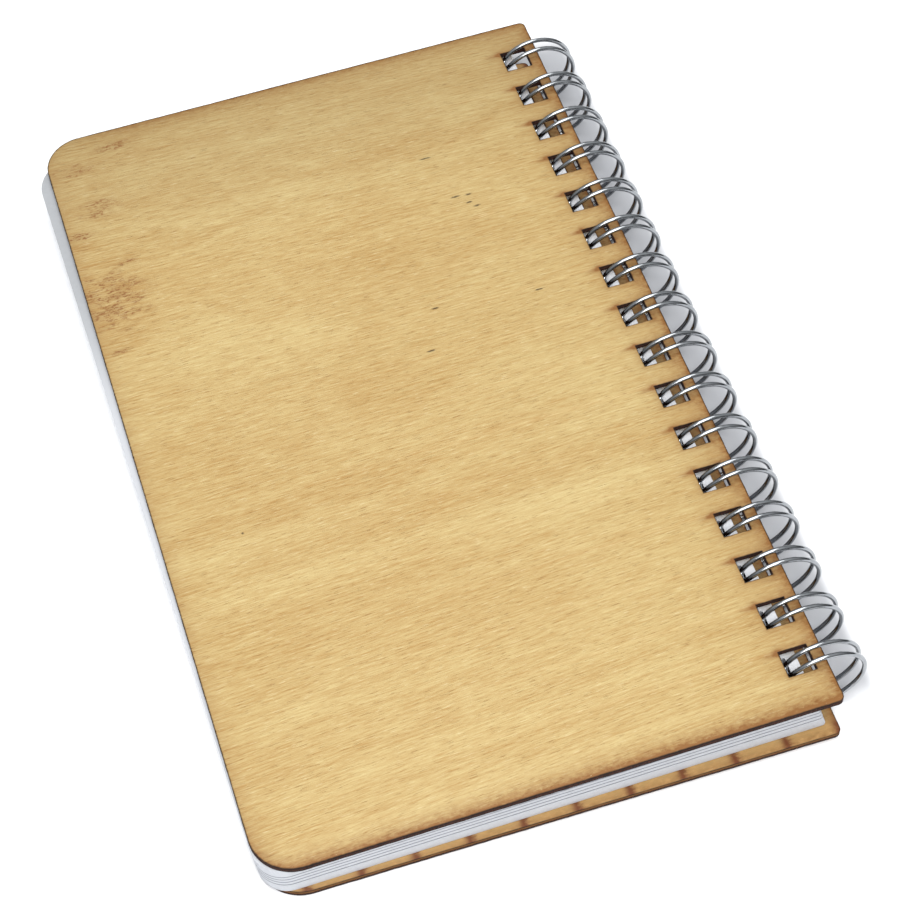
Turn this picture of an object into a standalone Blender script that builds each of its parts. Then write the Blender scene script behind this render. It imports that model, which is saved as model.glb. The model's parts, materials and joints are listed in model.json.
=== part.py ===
"""Pocket notebook with plywood covers and square-holed leaves on a twin-loop wire.

Metres, +Z up. The origin is the middle of the front cover's outer face, the one the closed notebook lies
on. The spine is at +X, and the wire ring's axis runs along Y. The wire seam lies just inside the back cover
and holds the spine side open a little, so the back cover and the leaves slope down towards the fore-edge.
Each piece turns about the ring's axis on the piece below it.
"""

import math

import bpy

MM = 0.001

# Covers
COVER_WIDTH = 86.9 * MM
COVER_HEIGHT = 143.4 * MM
COVER_THICKNESS = 1.0 * MM
COVER_CORNER = 6.5 * MM
COVER_SPINE_CORNER = 1.0 * MM
COVER_HOLE_MARGIN = 1.9 * MM
FRONT_SPINE_EDGE = 1.0 * MM
BACK_SPINE_EDGE = 0.42 * MM
BACK_COVER_SLOPE = math.radians(1.48)
BACK_OUTER_OFFSET = 5.0 * MM

# Square holes, three to the inch
HOLE_COUNT = 16
HOLE_PITCH = 25.4 * MM / 3
HOLE_SIZE = 4.35 * MM

# Leaves. A pair of numbers is for the lowest leaf and the highest one.
LEAF_COUNT = 25
LEAF_WIDTHS = (85.9 * MM, 84.3 * MM)
LEAF_SPINE_EDGES = (-1.08 * MM, -3.26 * MM)
LEAF_HEIGHT = 139.5 * MM
LEAF_THICKNESS = 0.25 * MM
LEAF_TOP_CORNER = 6.5 * MM
LEAF_BOTTOM_CORNER = 4.5 * MM
LEAF_SPINE_CORNER = 0.5 * MM
LEAF_HOLE_MARGIN = 1.7 * MM
LEAF_HOLE_SIZE = 4.3 * MM
LEAF_TURN = math.radians(0.25)
LEAF_OUT_OF_SQUARE = math.radians(0.55)
LEAF_SPINE_PITCH = 0.302 * MM
LEAF_FORE_PITCH = 0.2635 * MM
SHEET_GAP = 0.02 * MM
STACK_GAPS = ((7, 0.12 * MM), (10, 0.05 * MM))

# Twin-loop wire
RING_RADIUS = 6.6 * MM
RING_HEIGHT = 6.07 * MM
RING_X = COVER_WIDTH / 2 - FRONT_SPINE_EDGE
WIRE_RADIUS = 0.38 * MM
WIRE_PITCH = 8.54 * MM
LOOP_HALF_WIDTH = 1.1 * MM
TIP_HALF_WIDTH = 0.98 * MM
SEAM_BEND_RADIUS = 1.0 * MM
SEAM_ANGLE = math.radians(151)
TIP_ANGLE = math.radians(360 + 150)
NARROWING_ANGLE = math.radians(360 + 120)
RING_SEGMENTS = 22
NARROWING_SEGMENTS = 2

COVER_ARC_STEPS = 6
LEAF_ARC_STEPS = 4
SMALL_ARC_STEPS = 2
BEND_STEPS = 3

PLYWOOD = ("plywood", (0.60, 0.42, 0.20, 1), 0.6, 0.0)
PAPER = ("paper", (0.86, 0.87, 0.88, 1), 0.85, 0.0)
NICKEL_WIRE = ("nickel_wire", (0.62, 0.64, 0.65, 1), 0.25, 1.0)


def clear_scene():
    for item in list(bpy.data.objects):
        bpy.data.objects.remove(item, do_unlink=True)


def make_material(spec):
    name, colour, roughness, metallic = spec
    material = bpy.data.materials.new(name)
    material.use_nodes = True
    shader = material.node_tree.nodes["Principled BSDF"]
    shader.inputs["Base Color"].default_value = colour
    shader.inputs["Roughness"].default_value = roughness
    shader.inputs["Metallic"].default_value = metallic
    return material


def arc(centre_x, centre_y, radius, start, end, steps):
    """Points on a circle from one angle to the other, both ends included."""
    angles = [start + (end - start) * i / steps for i in range(steps + 1)]
    return [(centre_x + radius * math.cos(a), centre_y + radius * math.sin(a)) for a in angles]


def sheet_outline(width, height, top_corner, bottom_corner, spine_corner, steps):
    """Counter-clockwise outline of a sheet with its spine edge at X = 0 and rounded fore-edge corners."""
    top = height / 2
    quarter = math.pi / 2
    corners = (
        (-spine_corner, spine_corner - top, spine_corner, -quarter, SMALL_ARC_STEPS),
        (-spine_corner, top - spine_corner, spine_corner, 0, SMALL_ARC_STEPS),
        (top_corner - width, top - top_corner, top_corner, quarter, steps),
        (bottom_corner - width, bottom_corner - top, bottom_corner, 2 * quarter, steps),
    )
    points = []
    for x, y, radius, start, count in corners:
        points += arc(x, y, radius, start, start + quarter, count)
    return points


def square_hole(x, y, size):
    half = size / 2
    return [(x - half, y - half), (x - half, y + half), (x + half, y + half), (x + half, y - half)]


def hole_row(x, size):
    """Outlines of the row of holes along the spine, centred on Y = 0."""
    first = -HOLE_PITCH * (HOLE_COUNT - 1) / 2
    return [square_hole(x, first + HOLE_PITCH * i, size) for i in range(HOLE_COUNT)]


def sheet_curve(name, outlines, thickness, material):
    """A flat 2D curve filled between its outlines and given a thickness, centred on Z = 0."""
    curve = bpy.data.curves.new(name, "CURVE")
    curve.dimensions = "2D"
    curve.fill_mode = "BOTH"
    curve.extrude = thickness / 2
    for outline in outlines:
        spline = curve.splines.new("POLY")
        spline.points.add(len(outline) - 1)
        for point, (x, y) in zip(spline.points, outline):
            point.co = (x, y, 0, 1)
        spline.use_cyclic_u = True
    curve.materials.append(material)
    return curve


def add_object(name, data, collection, parent=None, location=(0, 0, 0)):
    item = bpy.data.objects.new(name, data)
    item.parent = parent
    item.location = location
    collection.objects.link(item)
    return item


def cover_curve(name, material):
    """A cover in its own plane, its spine edge at X = 0."""
    outline = sheet_outline(
        COVER_WIDTH, COVER_HEIGHT, COVER_CORNER, COVER_CORNER, COVER_SPINE_CORNER, COVER_ARC_STEPS
    )
    hole_x = -COVER_HOLE_MARGIN - HOLE_SIZE / 2
    return sheet_curve(name, [outline] + hole_row(hole_x, HOLE_SIZE), COVER_THICKNESS, material)


def add_front_cover(collection, material):
    location = (COVER_WIDTH / 2, 0, COVER_THICKNESS / 2)
    return add_object("front_cover", cover_curve("front_cover", material), collection, None, location)


def add_back_cover(collection, material, hinge):
    """The sloping cover on top. Its outer face passes BACK_OUTER_OFFSET above the ring axis."""
    middle = BACK_OUTER_OFFSET - COVER_THICKNESS / 2
    along, across = math.cos(BACK_COVER_SLOPE), math.sin(BACK_COVER_SLOPE)
    location = (
        BACK_SPINE_EDGE * along - middle * across,
        0,
        BACK_SPINE_EDGE * across + middle * along,
    )
    cover = add_object("back_cover", cover_curve("back_cover", material), collection, hinge, location)
    cover.rotation_euler = (0, -BACK_COVER_SLOPE, 0)
    return cover


def out_of_square(outline, width):
    """The outline with its three outer edges turned a little. The spine edge, at X = 0, stays where it is."""
    lean = math.tan(LEAF_OUT_OF_SQUARE)
    return [(x + y * lean * x / width, y + x * lean) for x, y in outline]


def leaf_curve(name, width, material):
    """A leaf in its own plane, the middle of its hole row at X = 0."""
    outline = sheet_outline(
        width, LEAF_HEIGHT, LEAF_TOP_CORNER, LEAF_BOTTOM_CORNER, LEAF_SPINE_CORNER, LEAF_ARC_STEPS
    )
    to_holes = LEAF_HOLE_MARGIN + LEAF_HOLE_SIZE / 2
    outline = [(x + to_holes, y) for x, y in out_of_square(outline, width)]
    return sheet_curve(name, [outline] + hole_row(0, LEAF_HOLE_SIZE), LEAF_THICKNESS, material)


def between(pair, share):
    return pair[0] + (pair[1] - pair[0]) * share


def leaf_height(number_from_bottom, pitch):
    """How high above the ring axis the middle of a leaf lies, for the pitch of the stack at one edge."""
    gaps = sum(gap for below, gap in STACK_GAPS if number_from_bottom > below)
    return COVER_THICKNESS + SHEET_GAP + pitch * (number_from_bottom - 0.5) + gaps - RING_HEIGHT


def add_leaf(number_from_bottom, collection, material, hinge):
    """One leaf. The stack leans away from the spine as it rises, and it is thinner at the fore-edge."""
    share = (number_from_bottom - 1) / (LEAF_COUNT - 1)
    width = between(LEAF_WIDTHS, share)
    to_holes = LEAF_HOLE_MARGIN + LEAF_HOLE_SIZE / 2
    height = leaf_height(number_from_bottom, LEAF_SPINE_PITCH)
    slope = math.asin((height - leaf_height(number_from_bottom, LEAF_FORE_PITCH)) / (width - to_holes))
    name = f"leaf_{LEAF_COUNT + 1 - number_from_bottom:02d}"
    location = (between(LEAF_SPINE_EDGES, share) - to_holes, 0, height)
    leaf = add_object(name, leaf_curve(name, width, material), collection, hinge, location)
    leaf.rotation_mode = "ZYX"
    leaf.rotation_euler = (0, -slope, LEAF_TURN)
    return leaf


def on_ring(angle, y):
    """A point on the ring, the angle counted from +X over the top."""
    return (RING_RADIUS * math.cos(angle), y, RING_RADIUS * math.sin(angle))


def leg_points(loop_y, side):
    """One leg of a loop, from just below the seam, under the spine and over the top to its tip."""
    start = SEAM_ANGLE + SEAM_BEND_RADIUS / RING_RADIUS
    tip_start = TIP_ANGLE - TIP_HALF_WIDTH / RING_RADIUS
    points = []
    for i in range(RING_SEGMENTS + 1):
        angle = start + (NARROWING_ANGLE - start) * i / RING_SEGMENTS
        points.append(on_ring(angle, loop_y + side * LOOP_HALF_WIDTH))
    for i in range(1, NARROWING_SEGMENTS + 1):
        share = i / NARROWING_SEGMENTS
        half = LOOP_HALF_WIDTH + (TIP_HALF_WIDTH - LOOP_HALF_WIDTH) * share
        points.append(on_ring(NARROWING_ANGLE + (tip_start - NARROWING_ANGLE) * share, loop_y + side * half))
    return points


def tip_points(loop_y):
    """The rounded tip between the two legs of a loop, from the -Y leg to the +Y leg, ends left out."""
    tip_start = TIP_ANGLE - TIP_HALF_WIDTH / RING_RADIUS
    points = []
    for i in range(1, BEND_STEPS + 1):
        turn = math.pi * i / (BEND_STEPS + 1)
        reach = TIP_HALF_WIDTH * math.sin(turn) / RING_RADIUS
        points.append(on_ring(tip_start + reach, loop_y - TIP_HALF_WIDTH * math.cos(turn)))
    return points


def seam_points(loop_y):
    """The bend at the seam that joins the +Y leg of a loop to the -Y leg of the next one."""
    near = loop_y + LOOP_HALF_WIDTH
    far = loop_y + WIRE_PITCH - LOOP_HALF_WIDTH
    first, second = [], []
    for i in range(1, BEND_STEPS + 1):
        turn = math.pi / 2 * i / BEND_STEPS
        angle = SEAM_ANGLE + SEAM_BEND_RADIUS * (1 - math.sin(turn)) / RING_RADIUS
        side = SEAM_BEND_RADIUS * (1 - math.cos(turn))
        first.append(on_ring(angle, near + side))
        second.append(on_ring(angle, far - side))
    return first + second[::-1]


def wire_points():
    """The whole binding: one wire that runs out and back along each loop in turn."""
    points = []
    for i in range(HOLE_COUNT):
        loop_y = WIRE_PITCH * (i - (HOLE_COUNT - 1) / 2)
        points += leg_points(loop_y, -1) + tip_points(loop_y) + leg_points(loop_y, 1)[::-1]
        if i < HOLE_COUNT - 1:
            points += seam_points(loop_y)
    return points


def add_binding_wire(collection, material, hinge):
    curve = bpy.data.curves.new("binding_wire", "CURVE")
    curve.dimensions = "3D"
    curve.bevel_depth = WIRE_RADIUS
    curve.bevel_resolution = 1
    curve.use_fill_caps = True
    points = wire_points()
    spline = curve.splines.new("POLY")
    spline.points.add(len(points) - 1)
    for point, place in zip(spline.points, points):
        point.co = (*place, 1)
    spline.use_smooth = True
    curve.materials.append(material)
    return add_object("binding_wire", curve, collection, hinge)


def add_hinge(name, collection, below):
    """An empty on the ring axis that turns with the piece below it in the stack."""
    location = (0, 0, 0) if below else (RING_X, 0, RING_HEIGHT)
    return add_object(name, None, collection, below, location)


def build():
    clear_scene()
    notebook = bpy.data.collections.new("pocket_notebook")
    bpy.context.scene.collection.children.link(notebook)
    plywood = make_material(PLYWOOD)
    paper = make_material(PAPER)
    nickel = make_material(NICKEL_WIRE)

    add_front_cover(notebook, plywood)
    hinge = None
    for number in range(1, LEAF_COUNT + 1):
        hinge = add_hinge(f"hinge_leaf_{LEAF_COUNT + 1 - number:02d}", notebook, hinge)
        add_leaf(number, notebook, paper, hinge)
    hinge = add_hinge("hinge_binding_wire", notebook, hinge)
    add_binding_wire(notebook, nickel, hinge)
    hinge = add_hinge("hinge_back_cover", notebook, hinge)
    add_back_cover(notebook, plywood, hinge)
    bpy.context.view_layer.update()


build()
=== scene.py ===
"""Looks of the pocket notebook: two laser-cut plywood covers, paper leaves and a nickel twin-loop wire.

Every piece is built in its own plane, in metres: the spine edge at X = 0 and the fore-edge at -X, the
spine along Y and the thickness along Z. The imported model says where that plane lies. Shaders work in
millimetres of the same plane.
"""

import json
import math

import bmesh
import bpy
import numpy as np
from mathutils import Euler, Matrix, Vector


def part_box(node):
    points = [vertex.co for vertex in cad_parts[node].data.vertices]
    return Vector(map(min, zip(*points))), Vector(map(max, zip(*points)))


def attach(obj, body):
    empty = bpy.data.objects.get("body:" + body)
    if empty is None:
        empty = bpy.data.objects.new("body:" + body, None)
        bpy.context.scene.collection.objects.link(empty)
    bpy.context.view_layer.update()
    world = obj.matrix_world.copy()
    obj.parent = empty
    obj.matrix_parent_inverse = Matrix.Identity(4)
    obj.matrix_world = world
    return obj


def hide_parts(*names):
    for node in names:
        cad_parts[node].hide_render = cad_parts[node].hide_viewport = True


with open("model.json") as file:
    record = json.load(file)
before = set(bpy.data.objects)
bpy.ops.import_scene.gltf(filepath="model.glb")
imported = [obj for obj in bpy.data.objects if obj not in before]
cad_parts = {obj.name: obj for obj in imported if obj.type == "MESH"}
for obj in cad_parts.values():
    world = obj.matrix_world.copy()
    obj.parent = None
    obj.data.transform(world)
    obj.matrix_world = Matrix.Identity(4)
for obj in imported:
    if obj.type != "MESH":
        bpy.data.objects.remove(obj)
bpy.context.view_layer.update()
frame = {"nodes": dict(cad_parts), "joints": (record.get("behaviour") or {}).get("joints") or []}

MM = 0.001

# Covers, in millimetres
COVER_CORNER = 6.5
COVER_SPINE_CORNER = 1.0
COVER_HOLE_MARGIN = 1.9
COVER_HOLE_SIZE = 4.35
CUT_WANDER = 0.03
CUT_STEP = 0.7
COVER_ROUNDING = 0.05
ARC_STEPS_PER_MM = 4

# Hole row, three to the inch. The reach and the strip bound the holes, seen from the sheet's middle and
# from its spine edge.
HOLE_COUNT = 16
HOLE_PITCH = 25.4 / 3
HOLE_CORNER = 0.25
HOLE_ROW_REACH = 66.5
SPINE_STRIP = 12

# Leaves
LEAF_TOP_CORNER = 6.5
LEAF_BOTTOM_CORNER = 4.5
LEAF_SPINE_CORNER = 0.5
LEAF_OUT_OF_SQUARE = math.tan(math.radians(0.55))
LEAF_HOLE_MARGIN = 1.7
LEAF_HOLE_SIZE = 4.3
LEAF_ROUNDING = 0.03
LEAF_COUNT = 25
SHEET_SHARP_ANGLE = math.radians(50)

# Twin-loop wire
RING_RADIUS = 6.6
WIRE_RADIUS = 0.38
WIRE_PITCH = 8.54
LOOP_HALF_WIDTH = 1.1
TIP_HALF_WIDTH = 0.98
SEAM_BEND_RADIUS = 1.0
SEAM_ANGLE = math.radians(151)
TIP_ANGLE = math.radians(360 + 150)
NARROWING_ANGLE = math.radians(360 + 120)
RING_SEGMENTS = 72
NARROWING_SEGMENTS = 6
BEND_STEPS = 8
WIRE_SHARP_ANGLE = math.radians(60)

# Vertices closer than this are joined, in metres
WELD_DISTANCE = 1e-6

# Camera: millimetres from the middle of the front cover's outer face, and the lens in millimetres
CAMERA_AIM = (2.48, -12.97, 9.97)
CAMERA_DISTANCE = 370.9
CAMERA_AZIMUTH = math.radians(16.44)
CAMERA_ELEVATION = math.radians(54.70)
CAMERA_ROLL = math.radians(-1.62)
CAMERA_LENS = 94.78
CAMERA_CLIP = 0.01

# Studio, in metres and watts
FLOOR_HALF_SIZE = 2.0
FLOOR_GAP = 0.00005
KEY_LIGHT = {"location": (-0.08, -0.37, 0.55), "size": (0.4, 0.4), "power": 3.8}
OVERHEAD_LIGHT = {"location": (0.0, 0.1, 0.8), "size": (0.6, 0.5), "power": 3.15}
ROOM_COLOUR = (0.96, 0.98, 1.0, 1)
ROOM_STRENGTH = (0.12, 0.8)
ROOM_HEIGHT = (0.1, 0.9)
ROOM_IN_VIEW = 0.85


# ---------------------------------------------------------------------------------------------------
# Shader building
# ---------------------------------------------------------------------------------------------------


def srgb(red, green, blue):
    """A display colour, 0 to 255, as the linear colour a shader takes."""
    shares = [c / 255 for c in (red, green, blue)]
    linear = [c / 12.92 if c <= 0.04045 else ((c + 0.055) / 1.055) ** 2.4 for c in shares]
    return (*linear, 1)


class Value:
    """A number, vector or colour in a shader. The usual signs combine it with another one."""

    def __init__(self, shader, socket):
        self.shader = shader
        self.socket = socket

    def __add__(self, other):
        return self.shader.math("ADD", self, other)

    def __sub__(self, other):
        return self.shader.math("SUBTRACT", self, other)

    def __rsub__(self, other):
        return self.shader.math("SUBTRACT", other, self)

    def __mul__(self, other):
        return self.shader.math("MULTIPLY", self, other)

    def __truediv__(self, other):
        return self.shader.math("DIVIDE", self, other)

    def __neg__(self):
        return self.shader.math("MULTIPLY", self, -1)

    def __abs__(self):
        return self.shader.math("ABSOLUTE", self, 0)

    __radd__ = __add__
    __rmul__ = __mul__

    def at_least(self, other):
        return self.shader.math("MAXIMUM", self, other)

    def at_most(self, other):
        return self.shader.math("MINIMUM", self, other)

    def limited(self):
        return self.at_least(0).at_most(1)

    def exp(self):
        return self.shader.math("POWER", math.e, self)

    def bell(self, width):
        """1 where this value is 0, falling off smoothly over the given width."""
        ratio = self / width
        return (-(ratio * ratio)).exp()

    def ramp(self, start, end):
        """A smooth step from 0 at the start to 1 at the end."""
        inputs = {"Value": self, "From Min": start, "From Max": end}
        return self.shader.node("MapRange", inputs, interpolation_type="SMOOTHSTEP")


class Shader:
    """A procedural material, with the piece's own position in millimetres as x, y and z."""

    def __init__(self, name):
        self.material = bpy.data.materials.new(name)
        self.material.use_nodes = True
        self.nodes = self.material.node_tree.nodes
        self.links = self.material.node_tree.links
        self.surface = self.nodes["Principled BSDF"]
        place = self.node("TexCoord", {}, "Object")
        self.x, self.y, self.z = (part * (1 / MM) for part in self.split(place))
        self.normal = self.split(self.node("TexCoord", {}, "Normal"))

    def feed(self, value, socket):
        if isinstance(value, Value):
            self.links.new(value.socket, socket)
        else:
            socket.default_value = value

    def node(self, kind, inputs, output=0, **settings):
        made = self.nodes.new("ShaderNode" + kind)
        for key, setting in settings.items():
            setattr(made, key, setting)
        for key, value in inputs.items():
            self.feed(value, made.inputs[key])
        return Value(self, made.outputs[output])

    def math(self, operation, first, second):
        return self.node("Math", {0: first, 1: second}, operation=operation)

    def split(self, vector):
        made = self.nodes.new("ShaderNodeSeparateXYZ")
        self.feed(vector, made.inputs[0])
        return [Value(self, made.outputs[i]) for i in range(3)]

    def vector(self, x, y, z):
        return self.node("CombineXYZ", {0: x, 1: y, 2: z})

    def length(self, x, y, z):
        return self.node("VectorMath", {0: self.vector(x, y, z)}, "Value", operation="LENGTH")

    def noise(self, x, y, z, detail=3, roughness=0.55):
        """Fractal noise around 0, from about -0.5 to 0.5, one wave to each unit."""
        inputs = {"Vector": self.vector(x, y, z), "Scale": 1, "Detail": detail, "Roughness": roughness}
        return self.node("TexNoise", inputs) - 0.5

    def mix(self, share, first, second):
        """A colour between the first, at share 0, and the second, at share 1."""
        return self.node("Mix", {"Factor": share, 6: first, 7: second}, 2, data_type="RGBA")

    def wall(self):
        """1 on the cut edges of a flat sheet, 0 on its faces."""
        return 1 - abs(self.normal[2]).ramp(0.35, 0.8)

    def bump(self, height, distance):
        """Surface relief. The height is in units of the distance, which is in millimetres."""
        inputs = {"Height": height, "Distance": distance * MM, "Strength": 1}
        self.feed(self.node("Bump", inputs), self.surface.inputs["Normal"])

    def finish(self, **inputs):
        for key, value in inputs.items():
            self.feed(value, self.surface.inputs[key.replace("_", " ")])
        return self.material


# ---------------------------------------------------------------------------------------------------
# Plywood
# ---------------------------------------------------------------------------------------------------

# The noise seed of each cover's upper veneer, how far its lower veneer's seed lies from it, and the Y
# where the arched figure turns
FRONT_VENEER = 40
BACK_VENEER = 10
OTHER_VENEER = 60
FIGURE_APEX = 16.3

WOOD_LIGHT = srgb(197, 179, 127)
WOOD_MEDIUM = srgb(177, 150, 98)
WOOD_DARK = srgb(156, 116, 59)
DASH_DARK = srgb(140, 92, 44)
DASH_LIGHT = srgb(206, 190, 148)
TOASTED = srgb(128, 86, 42)
BURNT = srgb(100, 46, 22)
STAINED = srgb(122, 78, 36)
SPECKS = srgb(122, 74, 34)
SHADE_AT_TOP = srgb(118, 98, 66)
GOLDEN = srgb(206, 166, 108)
CHARRED = srgb(24, 15, 12)

# Burn spots in the golden strips at the front cover's ends, along X
BURN_SPACING = 8.1
FIRST_BURN = -8.4

# Small dark marks in the veneer, as X, Y and length in millimetres
MARK_WIDTH = 0.28
DARK_MARKS = (
    (-25.8, 47.0, 1.5),
    (-23.6, 37.2, 1.2),
    (-21.4, 37.0, 0.9),
    (-21.8, 35.3, 0.8),
    (-20.8, 34.2, 0.9),
    (-37.0, 7.8, 1.1),
    (-17.0, 13.9, 1.0),
    (-33.9, 15.8, 1.0),
    (-74.4, -15.7, 0.35),
)
# Mottled stains at the fore-edge, as X, Y, half length and half width
STAINS = (
    (-83.0, 35.0, 5.5, 5.5),
    (-80.3, 55.0, 3.6, 1.7),
    (-82.4, 64.6, 3.6, 1.2),
    (-74.5, 67.9, 3.2, 0.9),
    (-85.2, 49.8, 3.2, 0.8),
    (-78.8, 42.3, 1.7, 0.7),
    (-84.2, 24.5, 2.4, 0.8),
)


def outline_depth(s, width, height):
    """How far inside a cover's outline a point lies."""
    middle = -width / 2
    fore = s.math("LESS_THAN", s.x, middle)
    corner = COVER_SPINE_CORNER + fore * (COVER_CORNER - COVER_SPINE_CORNER)
    over_x = abs(s.x - middle) - width / 2 + corner
    over_y = abs(s.y) - height / 2 + corner
    outside = s.length(over_x.at_least(0), over_y.at_least(0), 0)
    return corner - outside - over_x.at_least(over_y).at_most(0)


def hole_offset(s):
    """A point's place relative to the middle of the nearest hole of a cover."""
    middle = (HOLE_COUNT - 1) / 2
    number = s.math("ROUND", s.y / HOLE_PITCH + middle, 0).at_least(0).at_most(HOLE_COUNT - 1)
    across = s.x + COVER_HOLE_MARGIN + COVER_HOLE_SIZE / 2
    return across, s.y - (number - middle) * HOLE_PITCH


def hole_distance(s, across, along):
    """How far outside the nearest hole a point lies."""
    over_x = (abs(across) - COVER_HOLE_SIZE / 2).at_least(0)
    over_y = (abs(along) - COVER_HOLE_SIZE / 2).at_least(0)
    return s.length(over_x, over_y, 0)


def plywood(name, seed, width, height, marked):
    """Flat-sawn veneer with laser burns.

    The marked cover carries stains and dark marks, the other one golden strips with burn spots. The lower
    face of each board has a veneer of its own, and none of these.
    """
    s = Shader(name)
    x, y, z = s.x, s.y, s.z
    upper_face = s.math("GREATER_THAN", z, 0)
    seed = seed + (1 - upper_face) * OTHER_VENEER

    # Fibres fan out a little: they climb towards the spine below the figure's apex and fall above it.
    fibre_y = y * (1 + 0.0008 * x) - 0.013 * x
    warp = s.noise(x * 0.035, y * 0.09, seed)
    ripple = s.noise(x * 0.12, y * 0.25, seed + 7, detail=2)
    upper = y.ramp(-12, 30)
    from_apex = y - FIGURE_APEX
    rings = (from_apex * from_apex + 4 * x) * 0.0021 + warp * (1.2 + upper * 2.4) + ripple * 0.5
    bands = s.noise(rings, seed + 3, x * 0.004, detail=4, roughness=0.6)
    fibre = s.noise(x * 0.17, fibre_y * 3.2, seed + 11, detail=5, roughness=0.68)
    hair = s.noise(x * 0.6, fibre_y * 9.5, seed + 17, roughness=0.65)
    pores = s.noise(x * 0.42, fibre_y * 5.6, seed + 23, roughness=0.6)
    cloud = s.noise(x * 0.03, y * 0.05, seed + 29, detail=2)

    tone = bands * 0.9 + fibre * 1.7 + hair * 1.1 + cloud * 0.5
    colour = s.mix((tone + 0.5).limited(), WOOD_DARK, WOOD_LIGHT)
    colour = s.mix(0.15, colour, WOOD_MEDIUM)
    dark_pores = pores.ramp(0.08, 0.24)
    light_pores = (-pores).ramp(0.08, 0.22)
    colour = s.mix(dark_pores * 0.6, colour, DASH_DARK)
    colour = s.mix(light_pores * 0.62, colour, DASH_LIGHT)
    if marked:
        # Painted shade: the marked board darker towards its top, standing for the light falling off there
        colour = s.mix(y.ramp(34, 68) * 0.26, colour, SHADE_AT_TOP)

    across, along = hole_offset(s)
    edge = outline_depth(s, width, height)
    hole = hole_distance(s, across, along)
    speckle = s.noise(x * 0.9, y * 1.6, seed + 31, detail=4, roughness=0.65)

    # Smoke stain near the hole row and along the outline, then the tighter burn at each cut
    smoke = (x + 2).bell(6.0) * 0.16 + (-(hole / 0.7)).exp() * 0.5
    streak = (across + 3.0).bell(1.5) * (along - 1.9).bell(0.45)
    corner = (across + 2.3).bell(0.7) * (along - 2.1).bell(0.55)
    sooty = 0.35 + x.ramp(-84, -70).at_least((-y).ramp(60, 69)) * 0.6
    smoke = smoke + streak * 0.6 + corner * 0.5 + (-(edge / (1.2 + speckle * 1.4))).exp() * sooty
    front = y + height / 2
    front_soot = (-(front / (1.1 + speckle * 2.0).at_least(0.3))).exp()
    smoke = smoke + front_soot * (0.3 + x.ramp(-80, 0) * 0.35)
    colour = s.mix((smoke * (1 + speckle * 1.3 + fibre)).limited(), colour, TOASTED)
    flecks = s.noise(x * 2.2, y * 3.4, seed + 33, detail=2).ramp(0.2, 0.28) * edge.bell(1.2)
    colour = s.mix(flecks * 0.7, colour, DASH_LIGHT)

    burn = (0.16 + speckle * 0.22 - edge).ramp(-0.12, 0.16)
    burn = burn.at_least((0.1 + speckle * 0.16 - hole).ramp(-0.1, 0.12))
    if marked:
        grain = s.noise(x * 1.5, y * 6, seed + 37, detail=2)
        for mark_x, mark_y, length in DARK_MARKS:
            blot = (x - mark_x).bell(length) * (y - mark_y).bell(MARK_WIDTH) * upper_face
            burn = burn.at_least((blot + grain * 0.9).ramp(0.45, 0.95) * 0.75)
        mottle = s.noise(x * 0.9, y * 2.4, seed + 41, detail=5, roughness=0.75)
        patches = (0.3 + s.noise(x * 0.3, y * 0.5, seed + 43).ramp(-0.12, 0.14)) * upper_face
        for stain_x, stain_y, half_x, half_y in STAINS:
            blot = (x - stain_x).bell(half_x) * (y - stain_y).bell(half_y) * patches
            colour = s.mix(blot.limited() * 0.32, colour, STAINED)
            specks = blot.ramp(0.06, 0.6) * mottle.ramp(-0.03, 0.1)
            colour = s.mix(specks * 0.85, colour, SPECKS)
    else:
        strip = (height / 2 - abs(y)).ramp(3.4, 1.4) * upper_face
        colour = s.mix(strip * (0.4 + speckle * 1.4).limited(), colour, GOLDEN)
        spot = s.math("PINGPONG", x - FIRST_BURN + speckle * 0.8, BURN_SPACING / 2)
        spots = (spot + speckle * 1.2).bell(0.75) * strip
        colour = s.mix((spots * 0.9).limited(), colour, BURNT)
    colour = s.mix(burn.limited(), colour, CHARRED)

    # The cut walls: charred plies, the core with its grain end-on
    wall = s.wall()
    strands = s.noise(x * 5, y * 5, z * 1.2, roughness=0.7)
    core = z.bell(0.22)
    char = s.mix((0.08 + strands * 0.9 + core * 0.15).limited(), CHARRED, BURNT)
    if not marked:
        char = s.mix((z + strands * 0.3).ramp(-0.05, 0.35) * 0.8, char, TOASTED)
    colour = s.mix(wall, colour, char)

    relief = fibre * 0.6 + hair * 0.4 - dark_pores * 0.4 - burn * 0.3 + wall * strands * 1.5
    s.bump(relief, 0.08)
    roughness = 0.55 + fibre * 0.2 + burn * 0.25 + wall * 0.2
    return s.finish(Base_Color=colour, Roughness=roughness.limited(), Specular_IOR_Level=0.3)


# ---------------------------------------------------------------------------------------------------
# Paper, wire and floor
# ---------------------------------------------------------------------------------------------------

PAPER_FACE = (srgb(182, 184, 188), srgb(196, 198, 202))
PAPER_EDGE = (srgb(204, 206, 211), srgb(213, 215, 219))
PAPER_LIT_AT_HOLES = srgb(220, 222, 226)
GREY_EDGE = srgb(122, 125, 133)
FORE_EDGE_SHADE = srgb(146, 148, 151)
MARGIN_SHADE = srgb(150, 152, 154)
LOWEST_EDGE = srgb(112, 114, 120)
NICKEL = (srgb(118, 121, 124), srgb(178, 181, 184))
STUDIO_PAPER = (srgb(247, 248, 250), srgb(252, 252, 253))
SHADE_IN_LOOPS = srgb(150, 152, 157)
SHADE_UNDER_COVER = srgb(38, 33, 30)

# The leaves whose cut edges carry painted shade lines for the gaps between leaves, counted from the top,
# # and how grey those and the other leaves' edges are
GAP_SHADE_LEAVES = (9, 12, 15, 18)
GAP_SHADE_SHARE = 0.95
PALE_SHARE = 0.22


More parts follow.
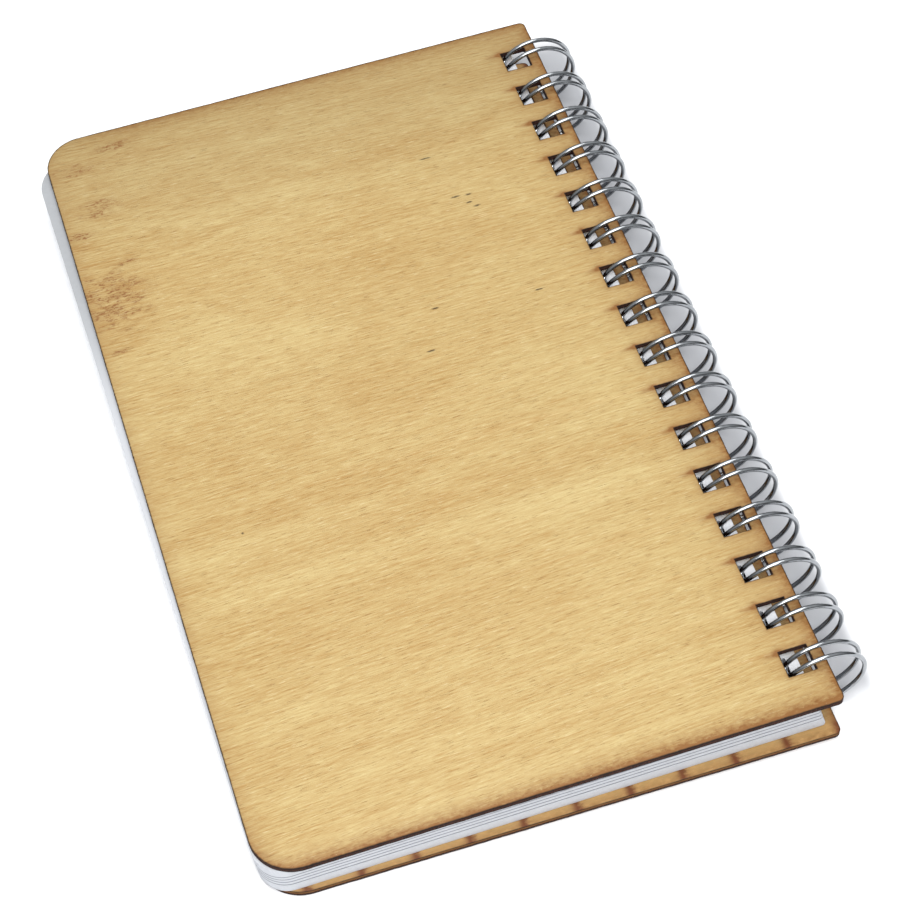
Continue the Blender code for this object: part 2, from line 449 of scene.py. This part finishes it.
def paper(name, number):
    """Smooth bluish white paper, fibrous cut edges, painted grey shade along the upper part of the
    fore-edge.

    The lowest leaf has a dark fore-edge. The top leaf has a grey margin of painted shade there, and
    painted light makes it whiter at its holes.
    """
    s = Shader(name)
    pulp = s.noise(s.x * 1.2, s.y * 1.2, number, detail=5, roughness=0.65)
    cloud = s.noise(s.x * 0.05, s.y * 0.05, number + 5, detail=2)
    wall = s.wall()
    frayed = s.noise(s.x * 2.5, s.y * 2.5, s.z * 20 + number)
    edge = s.mix((0.5 + pulp * 0.5 + cloud * 0.6).limited(), *PAPER_EDGE)
    grey = GAP_SHADE_SHARE if number in GAP_SHADE_LEAVES else PALE_SHARE
    # Painted shade: the listed leaves' cut edges turn grey as lines of shade in the gaps between leaves
    edge = s.mix((grey + frayed * 0.5).limited(), edge, GREY_EDGE)
    # Painted shade: the fore-edge walls grey towards the top, where they lie in shade
    fore_side = (-s.normal[0]).ramp(0.3, 1.0)
    in_shade = s.y.ramp(5, 42)
    edge = s.mix(fore_side * in_shade * 0.7, edge, FORE_EDGE_SHADE)
    if number == LEAF_COUNT:
        edge = s.mix(fore_side * 0.8, edge, LOWEST_EDGE)
    colour = s.mix((0.5 + pulp * 0.8 + cloud * 0.8).limited(), *PAPER_FACE)
    if number == 1:
        # Painted light: the top leaf lighter near its spine, where it shows through the holes
        colour = s.mix(s.x.ramp(-11, -6.5), colour, PAPER_LIT_AT_HOLES)
        # Painted shade: a grey margin on the top leaf's upper fore-edge
        margin = (-s.x).ramp(80.5, 82.5) * in_shade
        colour = s.mix(margin * (0.75 + pulp * 0.4), colour, MARGIN_SHADE)
    colour = s.mix(wall, colour, edge)
    s.bump(pulp * 0.6 + wall * frayed, 0.02)
    return s.finish(Base_Color=colour, Roughness=0.86 + pulp * 0.1, Specular_IOR_Level=0.25)


def nickel(name, ring_centre):
    """Bright drawn wire: fine lines along its length, faint tarnish and worn spots."""
    s = Shader(name)
    across = s.x - ring_centre.x / MM
    up = s.z - ring_centre.z / MM
    angle = s.node("Math", {0: up, 1: across}, operation="ARCTAN2")
    radius = s.length(across, 0, up)
    lines = s.noise(angle * 2.2, s.y * 14, radius * 14, roughness=0.6)
    tarnish = s.noise(s.x * 0.6, s.y * 0.6, s.z * 0.6)
    colour = s.mix((0.5 + lines * 0.5 + tarnish * 0.9).limited(), *NICKEL)
    s.bump(lines, 0.006)
    roughness = 0.13 + lines * 0.1 + tarnish.at_least(0) * 0.25
    return s.finish(Base_Color=colour, Metallic=1.0, Roughness=roughness.limited())


def backdrop(name):
    """Matt white studio paper, in shade under the front cover and inside the loops beside it."""
    s = Shader(name)
    tooth = s.noise(s.x * 0.8, s.y * 0.8, 0, detail=4, roughness=0.6)
    colour = s.mix((0.5 + tooth).limited(), *STUDIO_PAPER)
    low, high = (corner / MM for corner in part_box("front_cover"))
    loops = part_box("binding_wire")[1].x / MM
    x = s.x + low.x
    beside = x.ramp(high.x - 4, high.x) * x.ramp(loops + 4, loops + 1)
    beside = beside * s.y.ramp(low.y + 3, low.y + 9) * s.y.ramp(high.y + 8, high.y + 2)
    colour = s.mix(beside * 0.8, colour, SHADE_IN_LOOPS)
    inside = x.ramp(low.x + 1, low.x + 4) * x.ramp(high.x, high.x - 2)
    inside = inside * s.y.ramp(low.y + 1, low.y + 4) * s.y.ramp(high.y + 6, high.y)
    colour = s.mix(inside, colour, SHADE_UNDER_COVER)
    s.bump(tooth, 0.02)
    return s.finish(Base_Color=colour, Roughness=0.95, Specular_IOR_Level=0.1)


# ---------------------------------------------------------------------------------------------------
# Sheets
# ---------------------------------------------------------------------------------------------------


def placement(node):
    """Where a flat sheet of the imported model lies.

    Gives its plane's matrix, and its lowest and highest corners in that plane in millimetres. The row of
    holes gives the direction of the spine.
    """
    corners = np.array([v.co for v in frame["nodes"][node].data.vertices]) / MM
    points = np.unique(corners.round(4), axis=0)
    up = np.linalg.svd(points - points.mean(0))[2][2]
    up *= math.copysign(1, up[2])
    from_spine = points[:, 0].max() - points[:, 0]
    holes = points[(from_spine < SPINE_STRIP) & (abs(points[:, 1]) < HOLE_ROW_REACH)]
    middle = (holes.max(0) + holes.min(0)) / 2
    along = np.linalg.svd(holes - holes.mean(0))[2][0]
    along *= math.copysign(1, along[1])
    across = np.cross(along, up)
    local = (points - middle) @ np.array([across, along, up]).T
    spine_edge = local[:, 0].max()
    origin = middle + across * spine_edge
    local[:, 0] -= spine_edge
    matrix = Matrix([[across[i], along[i], up[i], origin[i] * MM] for i in range(3)] + [[0, 0, 0, 1]])
    return matrix, local.min(0), local.max(0)


def rounded_rectangle(left, right, bottom, top, corners, step=None):
    """Counter-clockwise outline. The corners are radii: bottom right, top right, top left, bottom left."""
    centres = ((right, bottom, -1, 1), (right, top, -1, -1), (left, top, 1, -1), (left, bottom, 1, 1))
    points = []
    for number, ((x, y, in_x, in_y), radius) in enumerate(zip(centres, corners)):
        start = math.pi / 2 * (number - 1)
        count = max(3, round(radius * ARC_STEPS_PER_MM))
        for i in range(count + 1):
            angle = start + math.pi / 2 * i / count
            centre_x, centre_y = x + in_x * radius, y + in_y * radius
            points.append((centre_x + radius * math.cos(angle), centre_y + radius * math.sin(angle)))
    if step:
        points = subdivided(points, step)
    return points


def subdivided(points, step):
    """The same closed outline with its straight runs cut into lengths of about one step."""
    result = []
    for (x0, y0), (x1, y1) in zip(points, points[1:] + points[:1]):
        count = max(1, round(math.hypot(x1 - x0, y1 - y0) / step))
        result += [(x0 + (x1 - x0) * i / count, y0 + (y1 - y0) * i / count) for i in range(count)]
    return result


def wandering(points, amount):
    """The outline as a laser cuts it, wandering a few hundredths of a millimetre."""
    result = []
    for x, y in points:
        shift = math.sin(x * 1.9 + y * 0.7) * 0.6 + math.sin(y * 2.6 - x * 0.9) * 0.4
        result.append((x + amount * shift * math.sin(y * 1.3), y + amount * shift * math.cos(x * 1.1)))
    return result


def sheet_outlines(width, height, corners, hole_margin, hole_size, rounding, step=None):
    """A sheet's outline and holes, drawn back by the rounding of the sheet's edges."""
    radii = [max(r - rounding, 0.05) for r in corners]
    top = height / 2 - rounding
    outlines = [rounded_rectangle(rounding - width, -rounding, -top, top, radii, step)]
    half = hole_size / 2 + rounding
    middle = -hole_margin - hole_size / 2
    for i in range(HOLE_COUNT):
        y = HOLE_PITCH * (i - (HOLE_COUNT - 1) / 2)
        sides = (middle - half, middle + half, y - half, y + half)
        outlines.append(rounded_rectangle(*sides, [HOLE_CORNER] * 4, step)[::-1])
    return outlines


def solid_mesh(curve):
    """The closed mesh of a curve, its caps joined to its sides."""
    carrier = bpy.data.objects.new("carrier", curve)
    bpy.context.scene.collection.objects.link(carrier)
    bpy.context.view_layer.update()
    evaluated = carrier.evaluated_get(bpy.context.evaluated_depsgraph_get())
    mesh = bpy.data.meshes.new_from_object(evaluated)
    bpy.data.objects.remove(carrier)
    shape = bmesh.new()
    shape.from_mesh(mesh)
    bmesh.ops.remove_doubles(shape, verts=shape.verts, dist=WELD_DISTANCE)
    bmesh.ops.recalc_face_normals(shape, faces=shape.faces)
    shape.to_mesh(mesh)
    shape.free()
    return mesh


def sheet_mesh(name, outlines, thickness, rounding):
    """A flat sheet with its edges rounded over."""
    curve = bpy.data.curves.new(name, "CURVE")
    curve.dimensions = "2D"
    curve.fill_mode = "BOTH"
    curve.extrude = (thickness / 2 - rounding) * MM
    curve.bevel_depth = rounding * MM
    curve.bevel_resolution = 1
    for outline in outlines:
        spline = curve.splines.new("POLY")
        spline.points.add(len(outline) - 1)
        for point, (x, y) in zip(spline.points, outline):
            point.co = (x * MM, y * MM, 0, 1)
        spline.use_cyclic_u = True
    mesh = solid_mesh(curve)
    mesh.name = name
    mesh.shade_smooth()
    mesh.set_sharp_from_angle(angle=SHEET_SHARP_ANGLE)
    return mesh


def add_piece(name, mesh, matrix, material, node):
    """Puts a piece in the place of a CAD node, on that node's body."""
    piece = bpy.data.objects.new(name, mesh)
    bpy.context.scene.collection.objects.link(piece)
    mesh.materials.clear()
    mesh.materials.append(material)
    piece.matrix_world = matrix
    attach(piece, node)
    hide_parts(node)


def add_cover(node, seed, marked):
    """A cover: a board whose cut edges wander a little."""
    matrix, low, high = placement(node)
    width, height, thickness = high - low
    corners = (COVER_SPINE_CORNER, COVER_SPINE_CORNER, COVER_CORNER, COVER_CORNER)
    outlines = sheet_outlines(
        width, height, corners, COVER_HOLE_MARGIN, COVER_HOLE_SIZE, COVER_ROUNDING, CUT_STEP
    )
    outlines = [wandering(points, CUT_WANDER) for points in outlines]
    mesh = sheet_mesh(node + "_board", outlines, thickness, COVER_ROUNDING)
    material = plywood(node + "_plywood", seed, width, height, marked)
    add_piece(node + "_board", mesh, matrix, material, node)


def add_leaf(node, number):
    """A leaf: its spine edge is straight, and its three other edges are cut a little out of square."""
    matrix, low, high = placement(node)
    height = 2 * high[1]
    width = -low[0] - (height / 2 - LEAF_TOP_CORNER) * LEAF_OUT_OF_SQUARE
    corners = (LEAF_SPINE_CORNER, LEAF_SPINE_CORNER, LEAF_TOP_CORNER, LEAF_BOTTOM_CORNER)
    outlines = sheet_outlines(width, height, corners, LEAF_HOLE_MARGIN, LEAF_HOLE_SIZE, LEAF_ROUNDING)
    lean = LEAF_OUT_OF_SQUARE
    outlines[0] = [(x + y * lean * x / width, y + x * lean) for x, y in outlines[0]]
    mesh = sheet_mesh(node + "_sheet", outlines, high[2] - low[2], LEAF_ROUNDING)
    add_piece(node + "_sheet", mesh, matrix, paper(node + "_paper", number), node)


# ---------------------------------------------------------------------------------------------------
# Twin-loop wire
# ---------------------------------------------------------------------------------------------------


def on_ring(angle, y):
    """A point on the ring, the angle counted from +X over the top."""
    return Vector((RING_RADIUS * math.cos(angle), y, RING_RADIUS * math.sin(angle)))


def leg_points(loop_y, side):
    """One leg of a loop, from just below the seam, under the spine and over the top to its tip."""
    start = SEAM_ANGLE + SEAM_BEND_RADIUS / RING_RADIUS
    tip_start = TIP_ANGLE - TIP_HALF_WIDTH / RING_RADIUS
    points = []
    for i in range(RING_SEGMENTS + 1):
        angle = start + (NARROWING_ANGLE - start) * i / RING_SEGMENTS
        points.append(on_ring(angle, loop_y + side * LOOP_HALF_WIDTH))
    for i in range(1, NARROWING_SEGMENTS + 1):
        share = i / NARROWING_SEGMENTS
        angle = NARROWING_ANGLE + (tip_start - NARROWING_ANGLE) * share
        half = LOOP_HALF_WIDTH + (TIP_HALF_WIDTH - LOOP_HALF_WIDTH) * share**2
        points.append(on_ring(angle, loop_y + side * half))
    return points


def tip_points(loop_y):
    """The rounded tip between the two legs of a loop, from the -Y leg to the +Y leg, ends left out."""
    tip_start = TIP_ANGLE - TIP_HALF_WIDTH / RING_RADIUS
    points = []
    for i in range(1, BEND_STEPS + 1):
        turn = math.pi * i / (BEND_STEPS + 1)
        reach = TIP_HALF_WIDTH * math.sin(turn) / RING_RADIUS
        points.append(on_ring(tip_start + reach, loop_y - TIP_HALF_WIDTH * math.cos(turn)))
    return points


def seam_points(near, far):
    """The bend at the seam that joins the +Y leg of a loop to the -Y leg of the next one."""
    first, second = [], []
    for i in range(1, BEND_STEPS + 1):
        turn = math.pi / 2 * i / BEND_STEPS
        angle = SEAM_ANGLE + SEAM_BEND_RADIUS * (1 - math.sin(turn)) / RING_RADIUS
        side = SEAM_BEND_RADIUS * (1 - math.cos(turn))
        first.append(on_ring(angle, near + side))
        second.append(on_ring(angle, far - side))
    return first + second[::-1]


def wire_points():
    """The whole binding: one wire that runs out and back along each loop in turn."""
    points = []
    for i in range(HOLE_COUNT):
        loop_y = WIRE_PITCH * (i - (HOLE_COUNT - 1) / 2)
        points += leg_points(loop_y, -1) + tip_points(loop_y) + leg_points(loop_y, 1)[::-1]
        if i < HOLE_COUNT - 1:
            points += seam_points(loop_y + LOOP_HALF_WIDTH, loop_y + WIRE_PITCH - LOOP_HALF_WIDTH)
    return points


def add_wire(node, ring_centre):
    curve = bpy.data.curves.new(node, "CURVE")
    curve.dimensions = "3D"
    curve.bevel_depth = WIRE_RADIUS * MM
    curve.bevel_resolution = 4
    curve.use_fill_caps = True
    points = wire_points()
    spline = curve.splines.new("POLY")
    spline.points.add(len(points) - 1)
    for point, place in zip(spline.points, points):
        point.co = (*(place * MM + ring_centre), 1)
    mesh = solid_mesh(curve)
    mesh.shade_smooth()
    mesh.set_sharp_from_angle(angle=WIRE_SHARP_ANGLE)
    material = nickel(node + "_nickel", ring_centre)
    add_piece(node + "_loops", mesh, Matrix(), material, node)


# ---------------------------------------------------------------------------------------------------
# Studio
# ---------------------------------------------------------------------------------------------------


def add_floor(ring_centre):
    """A white floor under the fore-edge of the front cover and the lowest points of the loops."""
    fore_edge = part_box("front_cover")[0]
    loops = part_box("binding_wire")[0]
    slope = math.atan2(fore_edge.z - loops.z, ring_centre.x - fore_edge.x)
    mesh = bpy.data.meshes.new("floor")
    half = FLOOR_HALF_SIZE
    corners = [(-half, -half, 0), (half, -half, 0), (half, half, 0), (-half, half, 0)]
    mesh.from_pydata(corners, [], [(0, 1, 2, 3)])
    floor = bpy.data.objects.new("floor", mesh)
    bpy.context.scene.collection.objects.link(floor)
    floor.location = (fore_edge.x, 0, fore_edge.z - FLOOR_GAP)
    floor.rotation_euler = (0, slope, 0)
    mesh.materials.append(backdrop("backdrop_paper"))


def add_light(name, location, size, power):
    """A rectangular lamp turned to the origin."""
    light = bpy.data.lights.new(name, "AREA")
    light.shape = "RECTANGLE"
    light.size, light.size_y = size
    light.energy = power
    lamp = bpy.data.objects.new(name, light)
    bpy.context.scene.collection.objects.link(lamp)
    lamp.location = location
    lamp.rotation_mode = "QUATERNION"
    lamp.rotation_quaternion = (-Vector(location)).to_track_quat("-Z", "Y")


def add_studio():
    """A room that grows brighter towards its ceiling, a soft lamp at the front and one overhead.

    The camera sees the room paler than it lights the notebook.
    """
    world = bpy.data.worlds.new("studio")
    world.use_nodes = True
    nodes, links = world.node_tree.nodes, world.node_tree.links
    direction = nodes.new("ShaderNodeSeparateXYZ")
    links.new(nodes.new("ShaderNodeTexCoord").outputs["Generated"], direction.inputs[0])
    height = nodes.new("ShaderNodeMapRange")
    height.interpolation_type = "SMOOTHSTEP"
    links.new(direction.outputs[2], height.inputs["Value"])
    height.inputs["From Min"].default_value, height.inputs["From Max"].default_value = ROOM_HEIGHT
    height.inputs["To Min"].default_value, height.inputs["To Max"].default_value = ROOM_STRENGTH
    in_view = nodes.new("ShaderNodeMath")
    in_view.operation = "MULTIPLY"
    links.new(nodes.new("ShaderNodeLightPath").outputs["Is Camera Ray"], in_view.inputs[0])
    in_view.inputs[1].default_value = ROOM_IN_VIEW
    strength = nodes.new("ShaderNodeMath")
    strength.operation = "MAXIMUM"
    links.new(height.outputs[0], strength.inputs[0])
    links.new(in_view.outputs[0], strength.inputs[1])
    background = nodes["Background"]
    background.inputs["Color"].default_value = ROOM_COLOUR
    links.new(strength.outputs[0], background.inputs["Strength"])
    bpy.context.scene.world = world
    add_light("key", **KEY_LIGHT)
    add_light("overhead", **OVERHEAD_LIGHT)


def add_camera():
    camera = bpy.data.objects.new("camera", bpy.data.cameras.new("camera"))
    bpy.context.scene.collection.objects.link(camera)
    tilt = math.pi / 2 - CAMERA_ELEVATION
    turn = Euler((0, 0, -CAMERA_AZIMUTH)).to_matrix() @ Euler((tilt, 0, 0)).to_matrix()
    turn = turn @ Euler((0, 0, CAMERA_ROLL)).to_matrix()
    place = Vector(CAMERA_AIM) * MM + turn @ Vector((0, 0, CAMERA_DISTANCE * MM))
    camera.matrix_world = Matrix.Translation(place) @ turn.to_4x4()
    camera.data.lens = CAMERA_LENS
    camera.data.clip_start = CAMERA_CLIP
    bpy.context.scene.camera = camera


ring_centre = Vector(frame["joints"][0]["pos_m"])
add_cover("front_cover", FRONT_VENEER, marked=False)
add_cover("back_cover", BACK_VENEER, marked=True)
for number in range(1, LEAF_COUNT + 1):
    add_leaf(f"leaf_{number:02d}", number)
add_wire("binding_wire", ring_centre)
add_floor(ring_centre)
add_studio()
add_camera()
bpy.context.scene.view_settings.view_transform = "Standard"
